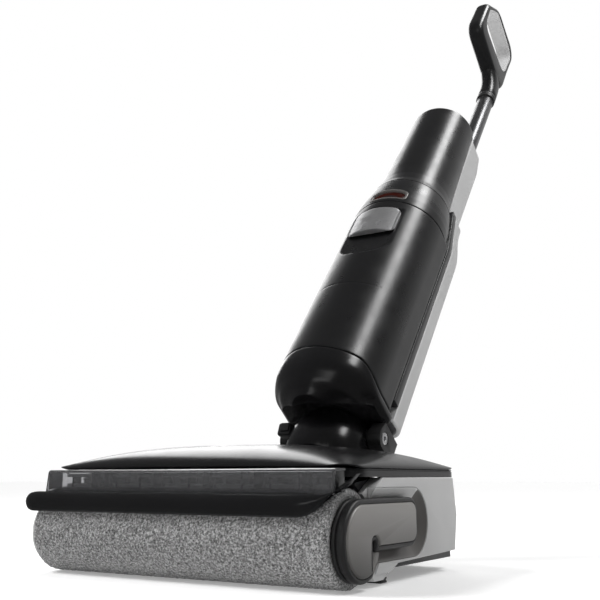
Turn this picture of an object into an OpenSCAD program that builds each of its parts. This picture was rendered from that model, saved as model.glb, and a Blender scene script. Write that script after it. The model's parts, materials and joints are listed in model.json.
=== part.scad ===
// Wet dry floor scrubber: a roller head, a tilting and swivelling joint, a body with two tanks, and a loop handle.
// +X is the machine's right seen from the front, the front faces -Y, and +Z is up.
// The origin is on the floor, in the middle of the footprint.

/* [Head] */
// Overall width of the head
head_w = 292; // [280:2:310]
// Distance from the roller axis to the back edge of the top cover
head_d = 184; // [176:2:190]
// Height of the top cover at its middle
dome_h = 100; // [96:1:102]
// Height of the lower edge of the top cover
skirt_z = 74; // [72:1:75]
// Height where the curved top starts
brow_z = 81; // [80:1:83]

/* [Roller] */
// Outer radius of the roller's pile
pile_r = 33.5; // [33:0.5:34]
// Outer radius of the hard core tube
core_r = 24; // [23:0.5:25]
// Half of the roller's length
roller_half = 134.4; // [130:0.2:134.4]
// Radius of the round part of the end cap
cap_r = 27.4; // [26:0.2:28]
// Height of the end cap's centre
cap_z = 32.2; // [31:0.2:33]

/* [Joint] */
// How far the body leans back from upright
lean = 39.3; // [30:0.1:45]
// Height of the tilt axis
pivot_z = 110; // [108:0.5:112]
// Distance from the roller axis to the tilt axis
pivot_y = 216.6; // [214:0.2:220]
// Radius of the pivot screws
pin_r = 4; // [3:0.5:5]
// Radial play of shafts and pins in their bores
play = 0.05; // [0.02:0.01:0.1]

/* [Body] */
// Radius of the round front of the body
body_r = 57; // [54:0.5:59]
// Wall thickness of the shells
wall = 2.4; // [2:0.2:3]
// Distance from the centre line to the back of the spine
spine_y = 32; // [30:1:34]
// Radius of the neck at its top
neck_r = 42; // [40:0.5:44]
// Height along the body of the seam under the dirty water tank
tank_s0 = 116; // [114:1:120]
// Height along the body of the seam over the dirty water tank
tank_s1 = 359; // [350:1:362]
// Height along the body of the seam between shoulder and neck
neck_s0 = 412; // [405:1:415]
// Height along the body of the top of the neck
neck_s1 = 603; // [590:1:606]
// Height along the body of the bottom of the clean water tank
clean_s0 = 100; // [98:1:104]
// Height along the body of the top of the clean water tank
clean_s1 = 437; // [430:1:440]

/* [Handle] */
// Outer radius of the handle tube
tube_r = 12.5; // [11:0.5:13]
// Distance from the body's centre line to the handle tube's axis
tube_y = 66; // [64:1:68]
// Height along the body of the handle's collar
collar_s = 813; // [800:1:816]
// Half of the loop handle's thickness
grip_half = 12.5; // [11:0.5:14]

/* [Wheels] */
// Radius of the back wheels
wheel_r = 20; // [18:1:21]
// Distance from the roller axis to the wheel axle
axle_y = 214; // [210:1:218]

/* [Hidden] */

$fn = 96;
black = [0.07, 0.07, 0.075];
gloss_black = [0.05, 0.05, 0.055];
smoke = [0.14, 0.14, 0.15];
mid_gray = [0.58, 0.58, 0.58];
light_gray = [0.66, 0.66, 0.66];
metal = [0.72, 0.72, 0.73];
dark_metal = [0.3, 0.3, 0.31];

// Top back corner of the loop handle in the body's own (y, along the body), and its radius
loop_corner = [62, 985];
loop_r = 20;
// How far the front bar reaches in front of the roller axis
front_reach = 36.5;
// Where the body's own zero lies: its axis meets the tilt axis at pivot_s along the body and swivel_y behind it
pivot_s = 75;
swivel_y = 31;
lean_y = pivot_y - pivot_s * sin(lean) - swivel_y * cos(lean);
lean_z = pivot_z - pivot_s * cos(lean) + swivel_y * sin(lean);
// Distance from the roller axis back to the middle of the footprint
centre_y = (lean_y + loop_corner[1] * sin(lean) + loop_corner[0] * cos(lean) + loop_r - front_reach) / 2;
// The joint turns inside this radius around the tilt axis
joint_clear_r = 54;
joint_clear_half = 44;
// Radius of the lugs that carry the tilt axis
lug_r = 9;
// Round pocket in the bottom of the body that clears the joint: its radius and how far up the body it goes
joint_pocket_r = 59;
joint_pocket_s = 89.5;
// Distance from the centre line to the front face of the spine
spine_front = 22;
// Gap left between pieces that only meet when closed
gap = 0.3;

module at_head() { translate([0, -centre_y, 0]) children(); }
module at_body() { at_head() translate([0, lean_y, lean_z]) rotate([-lean, 0, 0]) children(); }
module at_swivel() { at_body() translate([0, swivel_y, 0]) children(); }
module at_roller() { at_head() translate([0, 0, pile_r]) children(); }

// Extrudes an outline drawn as (y, z) from x0 to x1
module along_x(x0, x1) { translate([x0, 0, 0]) rotate([90, 0, 90]) linear_extrude(x1 - x0) children(); }
module rod_x(r, x0, x1) { translate([x0, 0, 0]) rotate([0, 90, 0]) cylinder(r = r, h = x1 - x0); }
module ring_x(r0, r1, x0, x1) {
    difference() {
        rod_x(r1, x0, x1);
        rod_x(r0, x0 - 1, x1 + 1);
    }
}
module tube_z(r0, r1, z0, z1) {
    translate([0, 0, z0]) difference() {
        cylinder(r = r1, h = z1 - z0);
        translate([0, 0, -1]) cylinder(r = r0, h = z1 - z0 + 2);
    }
}
// Rectangle with round corners between two opposite corners
module round_rect(a, b, r) {
    hull() for (x = [a[0] + r, b[0] - r], y = [a[1] + r, b[1] - r]) translate([x, y]) circle(r = r, $fn = 32);
}
// The same outline without hull, as crossed bars and four corner discs
module plain_round_rect(a, b, r) {
    translate([a[0] + r, a[1]]) square([b[0] - a[0] - 2 * r, b[1] - a[1]]);
    translate([a[0], a[1] + r]) square([b[0] - a[0], b[1] - a[1] - 2 * r]);
    for (x = [a[0] + r, b[0] - r], y = [a[1] + r, b[1] - r]) translate([x, y]) circle(r = r);
}

// ---------------------------------------------------------------- head

// Space that the joint sweeps through the back of the head
module joint_sweep() {
    translate([0, pivot_y, pivot_z]) rod_x(joint_clear_r, -joint_clear_half, joint_clear_half);
}

module chassis_side() {
    difference() {
        polygon([[24, 9], [head_d, 9], [head_d, skirt_z - 1], [42, skirt_z - 1], [16, 70]]);
        translate([0, pile_r]) circle(r = 38);
    }
}

module bay_wall_outline() {
    intersection() {
        translate([0, pile_r]) difference() {
            circle(r = 40.5);
            circle(r = 38);
        }
        translate([12, 12]) square([40, 58]);
    }
}

module pivot_lug() {
    hull() {
        translate([pivot_y, pivot_z]) circle(r = lug_r, $fn = 48);
        translate([pivot_y - lug_r, 30]) square([2 * lug_r, 2]);
    }
}

module head_chassis() color(black) at_head() {
    difference() {
        union() {
            translate([-130, 46, 9]) cube([260, head_d - 46, 3]);
            for (x = [-130, 127]) along_x(x, x + 3) chassis_side();
            translate([-127, head_d - 3, 12]) cube([254, 3, skirt_z - 13]);
            along_x(-127, 127) bay_wall_outline();
            along_x(-60, 60) polygon([[head_d, 9], [236, 12], [236, 40], [224, 46], [head_d, 50]]);
            for (x = [-30, 24]) along_x(x, x + 6) pivot_lug();
        }
        for (x = [-30, 24]) translate([0, pivot_y, pivot_z]) rod_x(pin_r + play, x - 1, x + 7);
        difference() {
            joint_sweep();
            for (x = [-30, 24]) along_x(x, x + 6) pivot_lug();
        }
        // hollow of the back extension, its duct opening and the axle bore
        along_x(-20, 20) polygon([[head_d - 6, 14], [232, 16], [232, 60], [head_d - 6, 60]]);
        translate([0, axle_y, wheel_r]) rod_x(3, -70, 70);
        // suction mouth behind the roller
        translate([-52, 26, 16]) cube([104, 20, 14]);
        for (x = [-110, 110], y = [70, 165]) translate([x, y, 8]) cylinder(r = 2, h = 6);
    }
}

module dome_outside(inset = 0) {
    hull() {
        translate([0, 0, skirt_z]) linear_extrude(brow_z - skirt_z - inset)
            round_rect([-141 + inset, -13 + inset], [141 - inset, head_d - inset], 20);
        translate([0, 84, skirt_z]) scale([(126 - inset) / 100, (88 - inset) / 100, (dome_h - skirt_z - inset) / 100])
            sphere(r = 100, $fn = 72);
    }
}

module head_dome() color(gloss_black) at_head() difference() {
    dome_outside();
    translate([0, 0, -0.01]) dome_outside(wall);
    translate([0, 0, skirt_z - 60]) cube([400, 600, 120], center = true);
    joint_sweep();
    // the front cover slides in under the brow
    translate([-138, -14, skirt_z - 1]) cube([276, 8, brow_z - skirt_z]);
}

module side_outline() {
    difference() {
        polygon([[38, skirt_z - gap], [168, skirt_z - gap], [174, 44], [168, 16], [60, 14], [48, 9], [24, 9],
            [10, 24], [10, 58]]);
        translate([0, pile_r]) circle(r = pile_r + 0.8);
    }
}

module side_recess() {
    hull() {
        translate([89, 41.5]) circle(r = 25.5, $fn = 64);
        translate([-40, 16]) square([60, 51]);
    }
}

module side_panel_right() color(mid_gray) at_head() difference() {
    along_x(130.2, 141) side_outline();
    along_x(134.2, 142) side_recess();
    translate([0, 0, pile_r]) rod_x(pile_r + 0.8, 120, 150);
    for (y = [100, 150]) translate([0, y, 30]) rod_x(1.6, 125, 132);
}

module side_panel_left() color(mid_gray) at_head() difference() {
    union() {
        along_x(-141, -130.2) side_outline();
        along_x(-141, -135.6) hull() {
            translate([0, cap_z]) circle(r = cap_r, $fn = 64);
            translate([30, 14]) square([10, 46]);
        }
    }
    for (y = [-9, 9], z = [-9, 9]) translate([0, y, pile_r + z]) rod_x(1.6, -142, -130);
}

// Duct from the mouth behind the roller back and up to the joint
module duct_path(t) {
    hull() {
        translate([-50 + t, 42, 16.3 + t]) cube([100 - 2 * t, 1, 13.4 - 2 * t]);
        translate([-16 + t, 176, 17 + t]) cube([32 - 2 * t, 1, 30 - 2 * t]);
    }
    hull() {
        translate([-16 + t, 176, 17 + t]) cube([32 - 2 * t, 1, 30 - 2 * t]);
        translate([0, pivot_y, 40]) cylinder(r = 13.5 - t, h = 12, $fn = 32);
    }
}

module suction_duct() color(dark_metal) at_head() difference() {
    union() {
        duct_path(0);
        translate([0, pivot_y, 45]) cylinder(r = 13.5, h = 30);
    }
    duct_path(1.8);
    translate([0, pivot_y, 44]) cylinder(r = 11.7, h = 50);
    translate([-48.2, 40, 18.1]) cube([96.4, 4, 9.8]);
}

module scraper_bar() color(metal) at_roller() rotate([38, 0, 0])
    translate([-126, pile_r + 0.5, -1.5]) cube([252, 3.8, 3]);

module squeegee_strip() color(black) at_head() difference() {
    translate([-133, 47, 0.4]) cube([266, 10, 8.6]);
    for (z = [1.8, 4.2]) translate([-134, 46, z]) cube([268, 2.4, 1.2]);
    for (z = [1.8, 4.2]) translate([-134, 55.6, z]) cube([268, 2.4, 1.2]);
}

module spray_bar() color(light_gray) at_head() difference() {
    translate([0, 40, 68]) ring_x(2, 4, -118, 118);
    for (i = [-5:5]) translate([i * 22, 40, 62]) cylinder(r = 0.6, h = 6, $fn = 16);
}

module rear_axle() color(metal) at_head() translate([0, axle_y, wheel_r]) rod_x(3, -79, 79);

module head_screws() color(metal) at_head() for (x = [-110, 110], y = [70, 165]) translate([x, y, 7.4]) {
    difference() {
        cylinder(r = 3.4, h = 1.6);
        translate([0, 0, -1]) cylinder(r = 1.5, h = 2, $fn = 6);
    }
    translate([0, 0, 1.6]) cylinder(r = 1.9, h = 10);
}

module drive_motor() color(metal) at_roller() {
    rod_x(17, -135.5, -62);
    for (i = [0:5]) rotate([i * 60, 0, 0]) translate([0, 16.6, 0]) rod_x(0.9, -128, -70);
}

module drive_gearbox() color(dark_metal) at_roller() {
    rod_x(17.5, -62, -48.4);
    rod_x(4, -48.4, -40);
}

module drive_coupler() color(light_gray) at_roller() difference() {
    translate([-46.9, 0, 0]) rotate([0, 90, 0]) cylinder(r = 12, h = 10, $fn = 6);
    rod_x(4 + play, -50, -30);
}

module wheel_hub(side) color(dark_metal) at_head() translate([0, axle_y, wheel_r]) mirror([side < 0 ? 1 : 0, 0, 0])
    difference() {
        union() {
            ring_x(12.5, 15, 62, 76);
            ring_x(3 + play, 6, 61, 77);
            for (i = [0:5]) rotate([i * 60, 0, 0]) translate([65, 5.6, -1]) cube([8, 7.2, 2]);
        }
        rod_x(3 + play, 55, 85);
    }
module wheel_tyre(side) color(black) at_head() translate([0, axle_y, wheel_r]) mirror([side < 0 ? 1 : 0, 0, 0])
    rotate([0, 90, 0]) rotate_extrude() polygon([[15, 62], [wheel_r - 1.2, 62], [wheel_r, 63.4], [wheel_r, 74.6],
        [wheel_r - 1.2, 76], [15, 76]]);
module wheel_hub_left() { wheel_hub(-1); }
module wheel_hub_right() { wheel_hub(1); }
module wheel_tyre_left() { wheel_tyre(-1); }
module wheel_tyre_right() { wheel_tyre(1); }

// ---------------------------------------------------------------- front cover

module bar_outline() {
    difference() {
        hull() {
            translate([5 - front_reach, 52.5]) circle(r = 5, $fn = 32);
            translate([-26, 57]) circle(r = 4, $fn = 32);
            translate([-22, 58.6]) circle(r = 2, $fn = 32);
        }
        translate([0, pile_r]) circle(r = pile_r + 0.9);
    }
}

module window_outline(t = 0) {
    polygon([[-23.5 + t, 61 + t], [-21.5 + t, 78.6 - t], [-17 + t, 79.6 - t], [-6.4 - t, 79.6 - t],
        [-6.4 - t, 70.6 + t], [-17, 63 + t]]);
}

module cover_window() color(smoke) at_head() difference() {
    along_x(-133, 136) window_outline();
    along_x(-130.6, 133.6) window_outline(2);
    along_x(-140, 140) translate([0, pile_r]) circle(r = pile_r + 0.9);
}

module hood_bar() color(gloss_black) at_head() difference() {
    along_x(-head_w / 2, 134.6) bar_outline();
    along_x(-150, 150) polygon([[-23.5, 61], [-21.5, 90], [0, 90], [0, 70.6], [-17, 63]]);
}

// ---------------------------------------------------------------- roller and its end cap

module cap_outline(inset = 0) {
    difference() {
        union() {
            translate([0, cap_z]) circle(r = cap_r - inset);
            plain_round_rect([inset > 0 ? -8 : 0, 24.6 + inset], [87 - inset, cap_z + cap_r - inset], 11 - inset);
        }
        translate([10.5, 0]) square([8, 34 - inset / 2]);
    }
}

module cap_rim() color(smoke) at_head() difference() {
    along_x(134.8, 144.6) cap_outline();
    along_x(143, 150) cap_outline(3.6);
    translate([0, 0, pile_r]) rod_x(pin_r, 130, 150);
}

module cap_panel() color(mid_gray) at_head() along_x(143, head_w / 2) cap_outline(3.9);

module cap_spindle() color(metal) at_roller() {
    rod_x(pin_r, 120.5, 143);
}

module roller_core() color(mid_gray) at_roller() difference() {
    union() {
        ring_x(19.5, core_r, -roller_half, roller_half);
        rod_x(20, -46.9, -36.9);
        rod_x(20, 122, roller_half);
    }
    translate([-47.5, 0, 0]) rotate([0, 90, 0]) cylinder(r = 12.6, h = 12, $fn = 6);
    rod_x(pin_r + play, 110, 140);
}

module roller_pile() color(mid_gray) at_roller() ring_x(core_r, pile_r, -roller_half, roller_half);

// ---------------------------------------------------------------- joint

bell_profile = [[33, 88], [36.5, 83], [39.5, 75], [41.5, 64], [41.5, 54], [40, 45], [37, 38]];

module knuckle_bell() color(smoke) at_swivel() difference() {
    union() {
        rotate_extrude() polygon(concat(bell_profile,
            [for (i = [len(bell_profile) - 1:-1:0]) [bell_profile[i][0] - wall, bell_profile[i][1] - 0.8]]));
        tube_z(20, 33, 84.8, 88);
        tube_z(20, 25, 88, 98.5);
    }
    translate([-33, -16, 30]) cube([66, 70, 54.6]);
    translate([0, 0, pivot_s]) rod_x(9, -50, 50);
}

module yoke_arm() {
    hull() {
        translate([0, pivot_s]) circle(r = 11.5, $fn = 32);
        translate([-8, 86]) square([20, 2]);
        translate([19, 83]) square([4, 5]);
        translate([17, 71]) circle(r = 6, $fn = 32);
    }
}

module knuckle_yoke() color(black) at_swivel() difference() {
    union() {
        for (x = [-55.5, 42]) along_x(x, x + 13.5) yoke_arm();
        for (x = [-42, 31]) translate([0, 0, pivot_s]) rod_x(9, x, x + 11);
    }
    for (x = [-60, 20]) translate([0, 0, pivot_s]) rod_x(pin_r, x, x + 40);
    for (x = [-56, 53.5]) translate([0, 0, pivot_s]) rod_x(6.5, x, x + 2.5);
    translate([-56, -12, 78]) rotate([12, 0, 0]) cube([9, 5, 7]);
}

module pivot_screws() color(metal) at_swivel() translate([0, 0, pivot_s]) for (s = [-1, 1]) mirror([s < 0 ? 1 : 0, 0, 0])
    difference() {
        union() {
            rod_x(pin_r, 23.5, 54);
            rod_x(6, 53.5, 55.2);
        }
        translate([53, 0, 0]) rotate([0, 90, 0]) cylinder(r = 2.6, h = 4, $fn = 6);
    }

module joint_hose() color(black) at_swivel() difference() {
    union() {
        tube_z(11, 13, 60, 98);
        for (i = [0:5]) tube_z(12, 14.5, 61 + i * 4, 63 + i * 4);
    }
    translate([0, 0, 50]) cylinder(r = 11, h = 60);
}

// ---------------------------------------------------------------- body

// Section of the body: a round front and straight sides back to y
module body_section(r, y) {
    intersection() {
        circle(r = r);
        translate([-r, -r]) square([2 * r, r]);
    }
    translate([-r, 0]) square([2 * r, y]);
}

module housing_solid(t) {
    hull() {
        translate([0, 0, 104]) linear_extrude(tank_s0 - gap - 104) body_section(body_r - t, spine_y - t);
        translate([0, -1, 96]) linear_extrude(2) body_section(body_r - 2.5 - t, spine_y - t);
        translate([0, -3, 89]) linear_extrude(2) body_section(body_r - 8 - t, spine_y - t);
        translate([0, -10, 76 + t]) linear_extrude(2) body_section(body_r - 22 - t, spine_y - 14);
    }
}

// Ledge of the lower housing under the clean water tank
module rear_ledge() {
    hull() {
        translate([-53, 20, 97]) cube([106, 32, clean_s0 - gap - 97]);
        translate([-48, 20, 86]) cube([96, 28, 2]);
    }
}

module lower_housing() color(gloss_black) at_body() difference() {
    union() {
        difference() {
            housing_solid(0);
            housing_solid(wall);
            translate([0, 0, tank_s0 - 8]) linear_extrude(20) body_section(body_r - wall, spine_y - wall);
        }
        // floor and wall of the round pocket over the joint
        intersection() {
            housing_solid(0);
            translate([0, swivel_y, 70]) cylinder(r = joint_pocket_r + wall, h = joint_pocket_s + wall - 70);
        }
        rear_ledge();
        translate([0, swivel_y, joint_pocket_s]) cylinder(r = 29, h = clean_s0 - gap - joint_pocket_s);
    }
    translate([0, swivel_y, 40]) cylinder(r = joint_pocket_r, h = joint_pocket_s - 40);
    translate([0, swivel_y, 80]) cylinder(r = 25 + play, h = 40);
}

module spine_frame() color(black) at_body() difference() {
    translate([0, spine_y, 0]) rotate([90, 0, 0]) linear_extrude(spine_y - spine_front) polygon([[-body_r, tank_s0],
        [body_r, tank_s0], [body_r, tank_s1], [52, 395], [46, clean_s1], [-46, clean_s1], [-52, 395],
        [-body_r, tank_s1]]);
    translate([-body_r + 6, spine_front - 1, tank_s0 + 6]) cube([2 * body_r - 12, 7, tank_s1 - tank_s0 - 12]);
}

// Radius of the shoulder and neck at the seams, bottom to top
shoulder = [[body_r, tank_s1 + gap], [body_r - 0.4, 372], [body_r - 1.8, 386], [body_r - 4, 400], [51, neck_s0]];
neck = [[51, neck_s0 + gap], [48.4, 422], [46.2, 436], [45, 452], [44.2, 480], [neck_r, neck_s1]];

// The slot under the neck: its place along the body, its turn from the front, and half its size
slot_s = 376;
slot_turn = 3.5;
slot_half_h = 9;
slot_half_w = 21;

module turned_shell(points, t) {
    rotate_extrude() polygon(concat(points, [for (i = [len(points) - 1:-1:0]) [points[i][0] - t, points[i][1]]]));
}

// Slot through the shoulder, cut straight in from the front, and grown on every side
module slot_cut(grow) {
    rotate([0, 0, slot_turn - 90]) translate([30 + grow, -slot_half_w - grow, slot_s - slot_half_h - grow])
        cube([45, 2 * (slot_half_w + grow), 2 * (slot_half_h + grow)]);
}

module upper_housing() color(black) at_body() difference() {
    union() {
        turned_shell(shoulder, wall);
        translate([0, 0, tank_s1 + gap]) linear_extrude(3) difference() {
            circle(r = body_r - 1);
            circle(r = 30);
        }
    }
    slot_cut(0);
    translate([-80, spine_front - gap, tank_s1 - 1]) cube([160, 60, 200]);
}

module slot_bezel() color(light_gray) at_body() intersection() {
    difference() {
        slot_cut(0);
        slot_cut(-2.2);
    }
    turned_shell([for (p = shoulder) [p[0] + 0.6, p[1]]], 4);
}

module slot_lens() color([0.25, 0.05, 0.02]) at_body() intersection() {
    slot_cut(-2.2);
    turned_shell([for (p = shoulder) [p[0] - 1.6, p[1]]], 2);
}

module neck_shell() color(black) at_body() {
    difference() {
        turned_shell(neck, wall);
        translate([-80, spine_front, neck_s0 - 1]) cube([160, 60, clean_s1 - neck_s0 + 1.3]);
    }
    tube_z(38, neck_r - wall + 0.2, neck_s1 - 6, neck_s1 - 3);
}

module display_lens() color(gloss_black) at_body() translate([0, 0, neck_s1 - 2.8]) cylinder(r = neck_r - wall - 0.2, h = 2.8);

// Bottom of the fan housing, over the spine
fan_s = clean_s1 + 3;

module suction_motor() color(metal) at_body() {
    tube_z(34, 36.5, fan_s, fan_s + 26);
    translate([0, 0, fan_s + 26]) cylinder(r = 36.5, h = 2);
    translate([0, 0, fan_s + 28]) cylinder(r = 26, h = 30);
    translate([0, 0, fan_s + 12]) cylinder(r = 2.5, h = 14);
}

module impeller() color(light_gray) at_body() translate([0, 0, fan_s + 6]) difference() {
    union() {
        cylinder(r = 32, h = 2);
        cylinder(r1 = 12, r2 = 8, h = 14);
        for (i = [0:8]) rotate([0, 0, i * 40]) translate([9, -0.8, 1]) cube([21, 1.6, 10]);
    }
    translate([0, 0, 4]) cylinder(r = 2.5 + play, h = 20);
}

module battery_pack() color([0.16, 0.3, 0.5]) at_body() {
    for (i = [0:5]) rotate([0, 0, i * 60 + 30]) translate([24, 0, neck_s0 + 92]) cylinder(r = 9.2, h = 65);
    for (z = [neck_s0 + 89, neck_s0 + 157]) translate([0, 0, z]) cylinder(r = 36, h = 3);
}

module main_board() color([0.05, 0.3, 0.15]) at_body() {
    translate([0, 0, neck_s1 - 22]) cylinder(r = 37, h = 1.6);
    for (i = [0:3]) rotate([0, 0, i * 90 + 45]) translate([14, -5, neck_s1 - 21]) cube([12, 10, 5.6]);
    for (i = [0:2]) rotate([0, 0, i * 120]) translate([33, 0, neck_s1 - 31]) cylinder(r = 2, h = 9.6);
}

module water_pump() color(light_gray) at_body() {
    translate([-30, -18, 101]) rotate([0, 90, 0]) cylinder(r = 8, h = 26);
    translate([-4, -18, 101]) rotate([0, 90, 0]) cylinder(r = 5, h = 8);
}

module rear_section() {
    difference() {
        union() {
            plain_round_rect([-40, 8], [40, 58], 8);
            translate([0, tube_y]) circle(r = 17);
            translate([-17, 50]) square([34, tube_y - 50]);
        }
        circle(r = 46.4);
    }
}

module rear_cover() color(light_gray) at_body() difference() {
    translate([0, 0, clean_s1 + gap]) linear_extrude(597 - clean_s1 - gap) rear_section();
    translate([0, tube_y, 470]) cylinder(r = tube_r, h = 200);
    along_x(-60, 60) polygon([[52, 600], [64, 589], [90, 560], [90, 600]]);
}

module handle_tube() color(dark_metal) at_body() translate([0, tube_y, 0]) tube_z(tube_r - 1.5, tube_r, 470, collar_s + 8);

module collar_ring() color(black) at_body() translate([0, tube_y, 0]) tube_z(tube_r, 14.5, collar_s, collar_s + 10.9);

// Outline of the loop handle, drawn as (y, along the body)
module loop_outside() {
    hull() {
        translate([63, 900]) circle(r = 20, $fn = 48);
        translate(loop_corner) circle(r = loop_r, $fn = 48);
        translate([-6, 984]) circle(r = 18, $fn = 48);
        translate([-21, 962]) circle(r = 18, $fn = 48);
        translate([-20, 900]) circle(r = 18, $fn = 48);
    }
    hull() {
        translate([tube_y - 14, collar_s + 11]) square([28, 2]);
        translate([63, 900]) circle(r = 20, $fn = 48);
        translate([50, 885]) circle(r = 16, $fn = 48);
    }
}

module loop_inside(grow) {
    hull() {
        translate([50, 922]) circle(r = 12 + grow, $fn = 48);
        translate([49, 964]) circle(r = 12 + grow, $fn = 48);
        translate([0, 963]) circle(r = 12 + grow, $fn = 48);
        translate([-7, 948]) circle(r = 11 + grow, $fn = 48);
        translate([-6, 917]) circle(r = 11 + grow, $fn = 48);
    }
}

button_at = [[8, 5.4], [24, 5.4], [42, 6.4]];

module handle_shell() color(black) at_body() difference() {
    along_x(-grip_half, grip_half) difference() {
        loop_outside();
        loop_inside(2.5);
    }
    translate([0, tube_y, collar_s]) cylinder(r = tube_r, h = 30);
    for (b = button_at) translate([0, b[0], 998]) cylinder(r = b[1] + 0.3, h = 20);
}

module handle_grip() color(light_gray) at_body() along_x(-grip_half + 0.6, grip_half - 0.6) difference() {
    loop_inside(2.5);
    loop_inside(0);
}

module handle_button(i) {
    at_body() translate([0, button_at[i][0], 999.6]) cylinder(r = button_at[i][1], h = 6);
}
module power_button() color(metal) handle_button(0);
module mode_button() color(light_gray) handle_button(1);
module self_clean_button() color(light_gray) handle_button(2);

module charging_contacts() color([0.85, 0.65, 0.25]) at_head() for (x = [-28, 28])
    translate([x, 236, 26]) rotate([-90, 0, 0]) cylinder(r = 4, h = 0.8);

// ---------------------------------------------------------------- dirty water tank

// Block cut straight back from the front of the tank, from the plane y = -front, between two corners given as
// (across, along the body)
module front_block(front, a, b, r) {
    translate([0, -front, 0]) rotate([90, 0, 0]) linear_extrude(40) plain_round_rect(a, b, r);
}

module button_pocket(grow = 0) { front_block(48 - grow, [-33 - grow, 264 - grow], [33 + grow, 347 + grow], 10); }

module dirty_tank_shell() color(black) at_body() difference() {
    translate([0, 0, tank_s0 + gap]) linear_extrude(tank_s1 - tank_s0 - 2 * gap) body_section(body_r, spine_front - gap);
    difference() {
        translate([0, 0, tank_s0 + gap + wall]) linear_extrude(tank_s1 - tank_s0)
            body_section(body_r - wall, spine_front - gap - wall);
        button_pocket(2);
    }
    translate([0, 0, tank_s0 - 1]) cylinder(r = 12, h = 6);
    button_pocket();
}

// The filter stands in the lid, in front of the centre line
filter_r = 24.5;
filter_y = -11;

module tank_lid() color(dark_metal) at_body() difference() {
    union() {
        translate([0, 0, tank_s1 - 9]) linear_extrude(5) body_section(body_r - wall - 0.2, 19);
        translate([0, 0, tank_s1 - 24]) linear_extrude(15.5) body_section(43, 16);
    }
    translate([0, filter_y, tank_s1 - 30]) cylinder(r = filter_r + 0.2, h = 40);
}

module lid_seal() color(black) at_body() translate([0, 0, tank_s1 - 4]) linear_extrude(2.4) difference() {
    body_section(body_r - wall - 1, 18);
    body_section(body_r - wall - 5, 14);
}

module tank_inlet_pipe() color(smoke) at_body() tube_z(9.8, 12, tank_s0 + 2.8, 300);

module tank_float() color(light_gray) at_body() tube_z(14, 18.5, 200, 218);

module filter_cartridge() color(light_gray) at_body() difference() {
    translate([0, filter_y, tank_s1 - 22]) cylinder(r = filter_r, h = 20);
    translate([0, filter_y, tank_s1 - 30]) cylinder(r = 9, h = 22);
}

module tank_release_button() color(metal) at_body() intersection() {
    front_block(51, [-29, 304], [29, 346], 7);
    translate([0, 0, 290]) cylinder(r = body_r + 0.6, h = 70);
}

// ---------------------------------------------------------------- clean water tank

// Height along the body of the filling hole in the back of the tank
fill_s = 405;

module clean_section(t) {
    intersection() {
        plain_round_rect([-body_r + 1 + t, spine_y + gap + t], [body_r - 1 - t, 60 - t], 9);
        translate([-80, spine_y]) square([160, 60]);
    }
}

module clean_tank_shell() color(light_gray) at_body() difference() {
    translate([0, 0, clean_s0]) linear_extrude(clean_s1 - clean_s0) clean_section(0);
    translate([0, 0, clean_s0 + wall]) linear_extrude(clean_s1 - clean_s0 - 2 * wall) clean_section(wall);
    translate([0, 50, fill_s]) rotate([-90, 0, 0]) cylinder(r = 9, h = 20);
}

module fill_cap() color(black) at_body() translate([0, 52, fill_s]) rotate([-90, 0, 0]) {
    cylinder(r = 8.9, h = 8);
    translate([0, 0, 60 - 52 + gap]) cylinder(r = 11.5, h = 2);
    cylinder(r = 6, h = 60 - 52 + gap + 1);
}

head_chassis();
head_dome();
side_panel_left();
side_panel_right();
suction_duct();
scraper_bar();
squeegee_strip();
spray_bar();
rear_axle();
head_screws();
drive_motor();
drive_gearbox();
drive_coupler();
wheel_hub_left();
wheel_tyre_left();
wheel_hub_right();
wheel_tyre_right();
cover_window();
hood_bar();
cap_rim();
cap_panel();
cap_spindle();
roller_core();
roller_pile();
knuckle_bell();
knuckle_yoke();
pivot_screws();
joint_hose();
lower_housing();
spine_frame();
upper_housing();
neck_shell();
display_lens();
slot_bezel();
slot_lens();
suction_motor();
impeller();
battery_pack();
main_board();
water_pump();
rear_cover();
handle_tube();
collar_ring();
handle_shell();
handle_grip();
power_button();
mode_button();
self_clean_button();
dirty_tank_shell();
tank_lid();
tank_inlet_pipe();
tank_float();
tank_release_button();
filter_cartridge();
lid_seal();
clean_tank_shell();
fill_cap();
charging_contacts();
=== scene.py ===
"""Wet dry floor scrubber: the looks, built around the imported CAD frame.

Shapes are drawn in millimetres in one of two local spaces, then placed by HEAD or BODY:
  head: x to the right as seen from the front, y back from the roller's axis, z up from the floor
  body: x to the right as seen from the front, y back from the centre line, s along the body
"""

import json
import math
import random

import bmesh
import bpy
from mathutils import Matrix, Vector, noise


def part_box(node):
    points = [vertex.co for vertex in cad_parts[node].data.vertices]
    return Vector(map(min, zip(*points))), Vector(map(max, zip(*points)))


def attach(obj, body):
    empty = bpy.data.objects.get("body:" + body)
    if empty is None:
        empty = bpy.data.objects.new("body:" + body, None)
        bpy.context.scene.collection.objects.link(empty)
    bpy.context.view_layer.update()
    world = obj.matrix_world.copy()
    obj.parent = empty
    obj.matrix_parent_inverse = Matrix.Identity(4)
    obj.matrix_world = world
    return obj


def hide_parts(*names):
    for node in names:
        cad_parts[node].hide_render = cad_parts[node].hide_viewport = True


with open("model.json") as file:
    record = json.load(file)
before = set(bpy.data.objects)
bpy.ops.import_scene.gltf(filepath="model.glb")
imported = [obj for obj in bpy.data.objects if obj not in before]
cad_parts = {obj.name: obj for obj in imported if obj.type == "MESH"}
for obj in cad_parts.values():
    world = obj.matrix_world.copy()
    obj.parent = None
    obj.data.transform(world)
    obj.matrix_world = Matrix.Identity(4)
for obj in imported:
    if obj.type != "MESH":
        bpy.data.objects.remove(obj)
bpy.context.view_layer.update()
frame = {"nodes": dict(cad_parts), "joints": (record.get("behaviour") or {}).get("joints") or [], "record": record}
NODES = frame["nodes"]
JOINTS = {j["name"]: j for j in frame["joints"]}
MM = 0.001

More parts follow.
